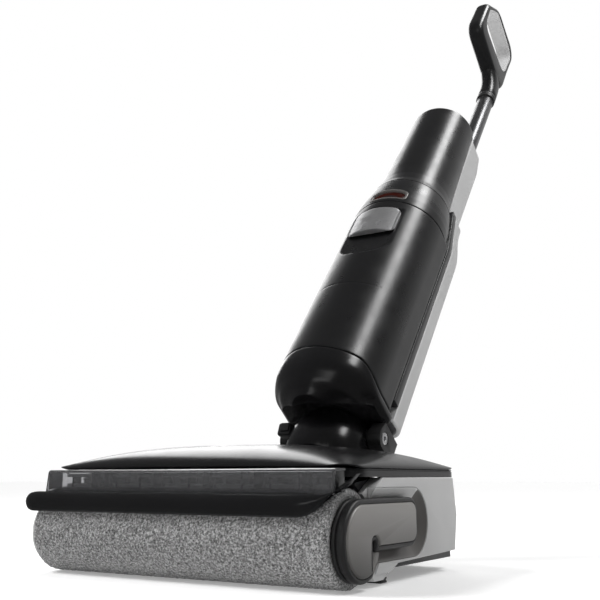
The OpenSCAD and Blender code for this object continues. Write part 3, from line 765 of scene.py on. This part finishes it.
def make_clean_tank():
    """Gray tank on the back: soft corners, a narrower top, raised level marks and a grip."""
    levels = [CLEAN_S0 + d for d in (0, 0.5, 1.5, 3)] + between(108, 350, 12) + between(359, 434, 5)
    levels += [CLEAN_S1 - d for d in (2.0, 1.0, 0.4, 0)]
    loops = []
    for s in levels:
        pull = edge_inset(s, CLEAN_S0, CLEAN_S1, 2.5)
        taper = 10 * smooth((s - 359) / 72)
        half, back, corner = 56 - pull - taper, 60 - pull * 0.6, 12
        loop = [(half, 32.6), (half, 36)] + arc((half - corner, back - corner), corner, 0, 90, 10)
        loop += [(x, back) for x in spaced(half - corner, corner - half, 10)[1:-1]]
        loop += arc((corner - half, back - corner), corner, 90, 180, 10) + [(-half, 36), (-half, 32.6)]
        loops.append([(x, y, s) for x, y in loop])
    add_piece("clean_tank_skin", loft(loops), "clean_tank", "tank_gray", ["clean_tank_shell"], sharp=40)
    bars = [box_at((22, 1.2, 1.6), 0.4, 0, 60, s) for s in between(150, 330, 30)]
    add_piece("level_marks", joined(bars), "clean_tank", "tank_gray")
    grip = [box_at((34, 1.6, 2.2), 0.6, 0, 60.2, s) for s in between(364, 376, 4)]
    add_piece("clean_tank_grip", joined(grip), "clean_tank", "tank_gray")
    dress("fill_cap", "soft_rubber", 0.5)


def make_rear_cover():
    """Gray spine cover from the clean tank up to the tube, with the tube's socket in its top."""
    low, high = CLEAN_S1 + SEAM, 597
    levels = [low, low + 0.4, low + 1, low + 2] + between(445, 560, 8) + between(564, 596, 2)
    levels += [high - 0.4, high]
    loops = []
    for s in levels:
        pull = edge_inset(s, low, high, 2.0)
        fall = 24 * smooth((s - 563) / 34) ** 1.3
        half, back, corner = 40 - pull, 58 - pull - min(6, fall * 0.25), 9
        bulge_r, bulge_back = 17, 83 - pull - fall
        step = max(back, min(back + 5, bulge_back - 12))
        loop = [(half, 14), (half, 20)] + arc((half - corner, back - corner), corner, 0, 90, 6)
        loop += [(bulge_r, back), (bulge_r, step)]
        loop += [(x, max(y, back)) for x, y in arc((0, bulge_back - bulge_r), bulge_r, 12, 168, 16)]
        loop += [(-bulge_r, step), (-bulge_r, back)]
        loop += arc((corner - half, back - corner), corner, 90, 180, 6) + [(-half, 20), (-half, 14)]
        loops.append([(x, y, s) for x, y in loop])
    add_piece("rear_cover_skin", loft(loops), "main_body", "tank_gray", ["rear_cover"], sharp=40)
    socket = [(12.6, 586), (12.6, 596.5), (13.4, 597.4), (15.2, 597.2), (15.8, 596), (15.8, 586)]
    add_piece("tube_socket", moved(lathe(socket), at(0, TUBE_Y, 0)), "main_body", "tank_gray")


def reach_of_discs(discs, centre, turn):
    """Distance from centre to the edge of the hull round discs, (y, s, radius), in the direction turn."""
    direction = Vector((math.cos(turn), math.sin(turn)))
    best = math.inf
    for a in turns(360):
        normal = Vector((math.cos(a), math.sin(a)))
        if normal.dot(direction) > 0.02:
            support = max(normal.dot(Vector(d[:2]) - centre) + d[2] for d in discs)
            best = min(best, support / normal.dot(direction))
    return best


LOOP_DISCS = [(60, 890, 23), (57, 975, 26), (8, 972, 28), (-12, 945, 27), (-16, 892, 22)]
HOLE_DISCS = [(52, 925, 18), (52, 966, 20), (4, 966, 20), (-8, 945, 19), (-8, 917, 16)]
LOOP_CENTRE = Vector((22, 942))
GRIP_HALF = 12.4


def make_loop(name, inner, outer, half, corner_in, corner_out, slot, replaces):
    """A closed ring between two outlines, given as reach by angle, with rounded edges."""
    loops = []
    for turn in turns(288):
        low, high = inner(turn), outer(turn)
        section = arc((high - corner_out, half - corner_out), corner_out, 0, 90, 7)
        section += arc((low + corner_in, half - corner_in), corner_in, 90, 180, 5)
        section += [(r, -x) for r, x in reversed(section)]
        y, s = LOOP_CENTRE
        loops.append([(x, y + r * math.cos(turn), s + r * math.sin(turn)) for r, x in section])
    loops.append(loops[0])
    add_piece(name, loft(loops, ends=False), "main_body", slot, replaces, sharp=60)


def make_handle():
    """The tube, the loop with its gray lining, the neck between them, the collar and the buttons."""
    dress("handle_tube", "tube_metal", 0.3)

    def hole(turn, grow=0.0):
        return reach_of_discs(HOLE_DISCS, LOOP_CENTRE, turn) + grow

    def outside(turn):
        return reach_of_discs(LOOP_DISCS, LOOP_CENTRE, turn)
    make_loop("handle_loop", hole, outside, GRIP_HALF, 2.0, 9.5, "body_black", ["handle_shell"])
    make_loop("handle_lining", lambda turn: hole(turn, -2.5), lambda turn: hole(turn, 1.0), GRIP_HALF - 0.8,
              1.6, 0.8, "tank_gray", ["handle_grip"])
    neck = [(824.2, 13.4, 52.6, 79.4), (825.0, 14, 52, 80), (836, 13.8, 51.6, 80.4), (846, 13.4, 50.2, 81),
            (855, 13.0, 47.4, 81.6), (862, 12.7, 43, 82), (869, 12.5, 35, 82.4), (876, 12.3, 24, 82.4),
            (884, 12.0, 12, 82), (892, 11.4, 6, 80)]
    loops = []
    for s, half, front, back in neck:
        middle, deep = (front + back) / 2, (back - front) / 2
        across = [math.copysign(half * abs(math.cos(a)) ** 0.8, math.cos(a)) for a in turns(72)]
        loops.append([(x, middle + deep * math.sin(a), s) for x, a in zip(across, turns(72))])
    add_piece("handle_neck", loft(loops), "main_body", "body_black", sharp=60)
    ring = [(12.6, 813.2), (12.6, 823.6), (14.2, 823.6), (14.5, 823.0), (14.5, 818.4), (14.0, 818.1),
            (14.0, 817.7), (14.5, 817.4), (14.5, 813.8), (14.2, 813.2)]
    collar = moved(lathe(ring), at(0, TUBE_Y, 0))
    add_piece("collar_skin", collar, "main_body", "frame_black", ["collar_ring"], sharp=40)
    for node in ("power_button", "mode_button", "self_clean_button"):
        make_button(node)


def make_button(node):
    """A round button with a dished face and a softened edge, in its CAD node's place."""
    low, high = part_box(node)
    middle = BODY.inverted() @ ((low + high) / 2)
    radius = (high.x - low.x) / MM / 2
    top = middle.z + 3
    profile = [(radius, top - 6), (radius, top - 0.8), (radius - 0.25, top - 0.3), (radius - 0.8, top),
               (radius * 0.6, top - 0.25), (radius * 0.3, top - 0.45), (0.01, top - 0.5), (0.01, top - 6)]
    cap = moved(lathe(profile, 48), at(0, middle.y, 0))
    body = next(b for b, members in frame["record"]["behaviour"]["bodies"].items() if node in members)
    add_piece(node + "_cap", cap, body, "silver_button", [node], sharp=60)


# ---- head

def rounded_rect(low, high, radius, steps=10):
    """An anticlockwise loop with round corners, its straight sides divided."""
    corners = [((high[0] - radius, low[1] + radius), -90), ((high[0] - radius, high[1] - radius), 0),
               ((low[0] + radius, high[1] - radius), 90), ((low[0] + radius, low[1] + radius), 180)]
    loop = []
    for centre, start in corners:
        loop += arc(centre, radius, start, start + 90, steps)
    return divided(loop, 4)


def dome_height(x, y):
    """Height of the top cover: a pillow, with a trough in front of the joint and a saddle under it."""
    across = abs(x) / HEAD_HALF
    along = abs(y - 84) / 97.5
    height = BROW_Z + (DOME_Z - BROW_Z) * (max(0, 1 - across ** 3.0) * max(0, 1 - along ** 3.2)) ** 0.66
    half = 50 * smooth((y - 2) / 150) ** 0.75
    height -= 3.6 * smooth((half - abs(x)) / 11) * smooth((y - 6) / 30)
    reach = 57 ** 2 - (PIVOT_Y - y) ** 2
    if reach > 0:
        saddle = PIVOT_Z - math.sqrt(reach) + max(0.0, abs(x) - 45) ** 2 / 16
        blend = 3.0
        if saddle < height + blend:
            height = min(height, saddle) - max(0.0, blend - abs(saddle - height)) ** 2 / (4 * blend)
    return height


def make_dome():
    """The pillow cover with a rolled rim and an inner skin, and the skirt down its two sides."""
    edge = rounded_rect((-HEAD_HALF, HEAD_FRONT), (HEAD_HALF, HEAD_BACK), 22)
    centre = Vector(HEAD_MIDDLE)
    loops = []
    for share in [0.01] + between(0.04, 0.92, 0.022) + [0.94, 0.955, 0.97, 0.98, 0.988, 0.994, 0.998, 1.0]:
        loop = []
        for point in edge:
            p = centre + (Vector(point) - centre) * share
            loop.append((p.x, p.y, dome_height(p.x, p.y)))
        loops.append(loop)

    def rim(distance, drop):
        return [(p[0], p[1], dome_height(*q) - drop) for p, q in zip(inset(edge, distance), edge)]
    loops += [rim(0, 0.5), rim(0.4, 0.9), rim(2.6, 1.2), rim(3.0, 0.4)]
    under = [[(x, y, z - 2.2) for x, y, z in loop] for loop in loops[2:-12:3]]
    add_piece("dome_skin", loft(loops + under[::-1]), "floor_head", "gloss_black", ["head_dome"], sharp=40)
    path = rounded_rect((-140.4, -5.6), (140.4, HEAD_BACK - 0.4), 20)
    start = min(range(len(path)), key=lambda i: abs(path[i][0] - 60) + abs(path[i][1] - HEAD_BACK))
    path = path[start:] + path[:start]
    top, low = BROW_Z - 0.9, SKIRT_Z + 0.1
    profile = [(0.3, low), (0.0, low + 0.5), (0.0, top - 1.7), (0.5, top - 1.3), (0.5, top - 0.8),
               (0.0, top - 0.4), (0.4, top), (2.4, top), (2.4, low)]
    for name, side in (("skirt_right", 1), ("skirt_left", -1)):
        run = [(x, y) for x, y in path if x * side > 0 and (y > -3 or x * side > 138)
               and not (y > 180 and x * side < 58)]
        if run[0][1] < run[-1][1]:
            run.reverse()
        add_piece(name, loft(swept(run, profile, HEAD_MIDDLE)), "floor_head", "gloss_black", sharp=40)


def swept(run, profile, centre):
    """Sweeps an (inwards, level) profile along an open run of 2D points: loops of (a, b, level)."""
    loops = []
    for i, point in enumerate(run):
        tangent = Vector(run[min(i + 1, len(run) - 1)]) - Vector(run[max(i - 1, 0)])
        normal = Vector((-tangent.y, tangent.x)).normalized()
        if normal.dot(Vector(centre) - Vector(point)) < 0:
            normal = -normal
        loops.append([(point[0] + normal.x * d, point[1] + normal.y * d, level) for d, level in profile])
    return loops


def bar_section():
    """Section of the hood bar as (y, z): a round nose, a sloping top, an underside clear of the roller."""
    clear = PILE_R + 1.1
    front = [math.radians(a) for a in between(70, 240, 10)]
    nose = [(-29 + 7.5 * math.cos(a), 55 + 8.2 * math.sin(a)) for a in front]
    below = [math.radians(a) for a in (26, 32, 38, 44, 49)]
    under = [(-clear * math.cos(a), ROLLER_Z + clear * math.sin(a)) for a in below]
    return nose + under + [(-21.6, 60.4), (-22.4, 61.4), (-24.2, 62.4)]


def make_hood_bar():
    """The bar: a blunt left end, and a right end that thins and climbs to the dome's corner."""
    section = bar_section()
    y0, z0 = -29.5, 54.0
    end_x = 145.4

    def ring(x, scale, dy=0.0, dz=0.0, lean=0.0):
        return [(min(x + lean * (z - z0), end_x), y0 + dy + (y - y0) * scale, z0 + dz + (z - z0) * scale)
                for y, z in section]
    left = [(-146, 0.12, 2, 1.5), (-145.6, 0.4, 1.4, 1.2), (-144.4, 0.66, 0.8, 0.8), (-142, 0.85, 0.3, 0.4),
            (-138, 0.97), (-134, 1)]
    right = [(116, 0.97, 0.2, 0.2), (121, 0.86, 1.0, 0.8, 0.1), (126, 0.72, 2.4, 2.2, 0.3),
             (130.5, 0.6, 4.2, 4.6, 0.5), (134.5, 0.5, 6.8, 8.0, 0.7), (138, 0.43, 10.5, 12.0, 0.9),
             (140.6, 0.38, 15, 16.0, 0.9), (141.8, 0.34, 20, 19.0, 0.7), (142, 0.2, 24, 20.5, 0.4)]
    loops = [ring(*r) for r in left + [(x, 1) for x in between(-120, 110, 12)] + right]
    add_piece("hood_bar_skin", loft(loops), "front_cover", "gloss_black", ["hood_bar"], sharp=50)
    add_piece("window_sill", box_at((246, 1.4, 2.2), 0.5, -8, -21.5, 62.6), "front_cover", "gloss_black")


def make_window():
    """Smoked strip with thick ends, and the ribs and latches that show dimly behind it."""
    section = [(-23.3, 62.2), (-23.5, 63.0), (-21.9, 77.6), (-21.2, 79.0), (-19.6, 79.8), (-7.0, 79.8),
               (-6.6, 79.4), (-6.6, 78.2), (-18.8, 77.8), (-19.6, 77.2), (-20.8, 66.2), (-20.6, 64.6),
               (-19.2, 62.6)]
    places = [-132.6, -132.2] + between(-126, 126, 12) + [134.6, 135.2]
    loops = [[(x, y, z) for y, z in section] for x in places]
    add_piece("window_strip", loft(loops), "front_cover", "smoked", ["cover_window"], sharp=35)
    ends = [box_at((2.2, 13.5, 14.5), 0.7, x, -13.6, 71.4) for x in (-131.4, 133.8)]
    add_piece("window_ends", joined(ends), "front_cover", "gloss_black")
    ledge = [box_at((258, 3, 3.2), 0.8, 0, -2.2, 66.8), box_at((258, 2, 2.0), 0.6, 0, -3.2, 73.4)]
    add_piece("inner_ledge", joined(ledge), "floor_head", "side_gray")
    ribs = []
    for i in range(-5, 6):
        height = 8.0 if i % 2 else 11.0
        ribs.append(box_at((1.6, 9, height), 0.4, i * 24.4, 0.5, 65 + height / 2))
    add_piece("inner_ribs", joined(ribs), "floor_head", "frame_black")
    latches = []
    for x in (-96, -82, -30, 18, 64, 104):
        latches.append(box_at((9, 7, 10), 1.2, x, -1.5, 71))
        latches.append(box_at((5.5, 8.4, 6), 1.0, x, -1.8, 71))
    add_piece("inner_latches", joined(latches), "floor_head", "frame_black")
    nozzle = lathe([(0.9, 0), (2.6, 0), (3.2, 1.2), (3.2, 5), (2.6, 6), (0.9, 6)], 24)
    nozzles = [moved(nozzle, at(x, 8, 67.8)) for x in between(-110, 110, 22)]
    add_piece("inner_nozzles", joined(nozzles), "floor_head", "side_gray")


RECESS = (89, 41.5)


def recess_run():
    """Open run of (y, z) round the right side panel's recess, from its top front to its bottom front."""
    (y, z), radius, step = RECESS, 25.5, 3
    top = [(front, z + radius) for front in between(27, y, step)]
    bottom = [(front, z - radius) for front in between(y, 24, step)]
    return top[:-1] + arc(RECESS, radius, 90, -90, 26) + bottom[1:]


def make_side_panels():
    """The CAD's panels, with the scooped recess on the right one, its lower band in painted shade, and a shoe
    under it.
    """
    for node in ("side_panel_right", "side_panel_left"):
        dress(node, "side_gray", 0.9, 3, 40)
    profile = [(0.05, 134.4), (0.05, 139.9), (0.5, 140.3), (1.1, 139.9), (2.6, 138.7), (4.8, 137.4),
               (7.4, 136.0), (8.6, 135.2), (9.0, 134.4)]
    run = recess_run()
    turn_end = len(run) - 25
    # The recess's lower band takes the darker cap_gray as painted shade under its overhang.
    for name, part, slot in (("recess_scoop", run[:turn_end + 1], "side_gray"),
                             ("recess_floor_painted_shade", run[turn_end:], "cap_gray")):
        loops = [[(x, y, z) for y, z, x in loop] for loop in swept(part, profile, (60, RECESS[1]))]
        add_piece(name, loft(loops), "floor_head", slot, sharp=50)
    shoe = [(24, 4.2), (38, 4.2), (44, 7), (50, 10.5), (60, 14), (60, 15), (24, 15), (22, 12), (22, 7)]
    loops = [[(x, y, z) for y, z in shoe] for x in (131.4, 139.8)]
    soften(add_piece("side_shoe", loft(loops), "floor_head", "side_gray"), 0.8, 3, 30)


def cap_loop():
    """Outline of the end cap as (y, z), anticlockwise: a disc, a tail to the back and a slit below."""
    slit_left, slit_right, slit_top, tip = 14.2, 18.5, 31.5, 1.4
    tail_low, tail_high, tail_back, corner = 24.6, CAP_Z + CAP_R, 87, 11
    cut = math.degrees(math.asin(slit_left / CAP_R))
    loop = arc((tail_back - corner, tail_low + corner), corner, -90, 0, 10)
    loop += arc((tail_back - corner, tail_high - corner), corner, 0, 90, 10)
    loop += [(y, tail_high) for y in between(tail_back - corner, 0, 6)[1:-1]]
    loop += arc((0, CAP_Z), CAP_R, 90, 270 + cut, 54)
    loop += [(slit_left, z) for z in between(16, slit_top - tip, 3)]
    loop += arc((slit_left + tip, slit_top - tip), tip, 180, 90, 5)[1:]
    loop += arc((slit_right - tip, slit_top - tip), tip, 90, 0, 5)
    loop += [(slit_right, z) for z in between(slit_top - 2.4, tail_low, 2.5)]
    loop += [(y, tail_low) for y in between(slit_right, tail_back - corner, 6)[1:-1]]
    return loop


def make_end_cap():
    """Charcoal rim with a groove round its edge, the guard before the roller, and the panel in its face."""
    def layers(outline, *steps):
        return [[(x, y, z) for y, z in inset(outline, distance)] for distance, x in steps]
    base = cap_loop()
    rim = layers(base, (1.2, 134.8), (0.4, 135.2), (0.1, 136), (0.1, 137.2), (0.5, 137.6), (1.5, 137.9),
                 (1.5, 138.9), (0.5, 139.2), (0.1, 139.6), (0.0, 142.4), (0.25, 143.4), (0.8, 144.2),
                 (1.5, 144.6), (2.9, 144.6), (3.3, 144.3), (3.4, 142.4))
    add_piece("cap_rim_skin", loft(rim), "end_cap", "frame_black", ["cap_rim"], sharp=60)
    guard = [(19.6, 24.0)] + [(y, ROLLER_Z + z) for y, z in arc((0, 0), 33.6, -54.5, -16.5, 12)]
    guard = layers(guard, (0.6, 135), (0.1, 135.6), (0.1, 139.6), (0.8, 140.3))
    add_piece("cap_guard", loft(guard), "end_cap", "cap_gray", sharp=60)
    face = layers(base, (3.5, 142.0), (3.5, 144.2), (3.7, 144.8), (4.1, 145.3), (4.6, 145.6), (5.1, 145.7))
    # The face panel's paint darkens towards the floor: painted shade.
    add_piece("cap_face", loft(face), "end_cap", "cap_painted_shade", ["cap_panel"], sharp=60)


def make_roller():
    """Pile roller: a tufted skin, loose fibres that stand out of it, and longer ones at its ends."""
    random.seed(7)
    around, along = turns(300), 340
    core_r, loose, fringe = 24.1, 9000, 420

    def on_roller(x, r, a):
        return (x, r * math.cos(a), ROLLER_Z + r * math.sin(a))
    loops = []
    for x in spaced(-ROLLER_HALF, ROLLER_HALF, along):
        pull = edge_inset(x, -ROLLER_HALF, ROLLER_HALF, 2.2)
        loop = []
        for a in around:
            tuft = noise.noise(Vector((x * 0.55, PILE_R * math.cos(a) * 0.55, PILE_R * math.sin(a) * 0.55)))
            loop.append(on_roller(x, PILE_R - 0.75 - pull + 0.6 * tuft, a))
        loops.append(loop)
    inner = [[on_roller(x, core_r, a) for a in around] for x in (ROLLER_HALF - 0.6, -ROLLER_HALF + 0.6)]
    add_piece("pile_skin", ring_loft(loops + inner), "roller", "roller_pile", ["roller_pile"])
    hairs = []
    for _ in range(loose):
        x = random.uniform(-ROLLER_HALF + 1, ROLLER_HALF - 1)
        a = random.uniform(0, 2 * math.pi)
        slant, twist = random.uniform(-0.9, 0.9), random.uniform(-0.02, 0.02)
        hairs.append(make_hair(x, a, PILE_R - 1.2, PILE_R - 0.06, slant, twist, 0.22))
    for side in (-1, 1):
        for turn in turns(fringe):
            a = turn + random.uniform(-0.006, 0.006)
            x = side * (ROLLER_HALF - random.uniform(0.3, 1.6))
            tip = PILE_R - random.uniform(0.1, 1.0)
            hairs.append(make_hair(x, a, 27.5, tip, 0, random.uniform(-0.012, 0.012), 0.30))
    add_piece("pile_fibres", joined(hairs), "roller", "roller_pile")


def make_hair(x, a, r0, r1, slant, twist, thick):
    """A closed three-sided fibre from radius r0 to r1."""
    def point(px, radius, angle):
        return (px, radius * math.cos(angle), ROLLER_Z + radius * math.sin(angle))
    half = thick / r0
    verts = [point(x - thick, r0, a - half), point(x + thick, r0, a - half), point(x, r0, a + 2 * half),
             point(x + slant, r1, a + twist)]
    return verts, [(0, 2, 1), (0, 1, 3), (1, 2, 3), (2, 0, 3)]


def make_joint():
    """The bell, yoke, screws and hose as in the CAD, and a hinge block with a small square pad on its front."""
    dress("knuckle_bell", "gloss_black", 0.8, 3, 40)
    dress("knuckle_yoke", "frame_black", 1.2, 3, 40)
    dress("pivot_screws", "steel", 0.3)
    dress("joint_hose", "soft_rubber", 0.4)
    tilt = 18
    block = [box_at((15, 14, 13), 2.2, -41, SWIVEL_Y - 21, 69, tilt),
             box_at((9.5, 2.4, 8.5), 0.8, -40, SWIVEL_Y - 28.4, 68, tilt)]
    add_piece("hinge_block", joined(block), "tilt_knuckle", "frame_black")


def make_rear_slats():
    """Two grilles of slats on the back of the head."""
    slats = [box_at((26, 1.6, 1.8), 0.5, side * 92, 183.6, z) for side in (-1, 1) for z in between(30, 60, 6)]
    add_piece("rear_slats", joined(slats), "floor_head", "side_gray")


# ---- CAD nodes that keep their shape

KEPT = {
    "head_chassis": ("frame_black", 0.5), "suction_duct": ("inner_plastic", 0.3),
    "scraper_bar": ("steel", 0.4), "squeegee_strip": ("soft_rubber", 0.25), "spray_bar": ("steel", 0.2),
    "rear_axle": ("steel", 0.4), "head_screws": ("steel", 0.2), "drive_motor": ("motor_steel", 0.4),
    "drive_gearbox": ("inner_plastic", 0.4), "drive_coupler": ("inner_plastic", 0.5),
    "wheel_hub_left": ("inner_plastic", 0.3), "wheel_hub_right": ("inner_plastic", 0.3),
    "wheel_tyre_left": ("tyre_rubber", 0.5), "wheel_tyre_right": ("tyre_rubber", 0.5),
    "cap_spindle": ("steel", 0.4), "roller_core": ("inner_plastic", 0.3),
    "spine_frame": ("body_black", 0.8), "suction_motor": ("motor_steel", 0.4),
    "impeller": ("inner_plastic", 0.2), "battery_pack": ("battery_wrap", 0.4),
    "main_board": ("board_green", 0.2), "water_pump": ("inner_plastic", 0.4),
    "tank_lid": ("inner_plastic", 0.6), "tank_inlet_pipe": ("smoked", 0.2),
    "tank_float": ("inner_plastic", 0.5), "filter_cartridge": ("filter_white", 0.5),
    "lid_seal": ("soft_rubber", 0.3), "charging_contacts": ("copper_lip", 0.3),
}

make_world()
make_floor()
make_sun()
make_light("left_softbox", (-1.35, 1.45, 1.35), (0, 0.2, 0.4), (1.3, 1.6), 16)
make_light("body_strip", (0.92, 0.35, 1.85), (0, 0.2, 0.35), (0.38, 2.0), 24, (-0.26, 0.76, 0.54))
make_light("front_fill", (0.5, -2.6, 0.7), (0, 0, 0.1), (1.6, 0.5), 3)

for node_name, (slot_name, edge_width) in KEPT.items():
    dress(node_name, slot_name, edge_width)
make_dirty_tank()
make_release_plate()
make_upper_shells()
make_slot()
make_lower_housing()
make_clean_tank()
make_rear_cover()
make_handle()
make_dome()
make_hood_bar()
make_window()
make_side_panels()
make_end_cap()
make_roller()
make_joint()
make_rear_slats()

bpy.context.scene.view_settings.view_transform = "Standard"
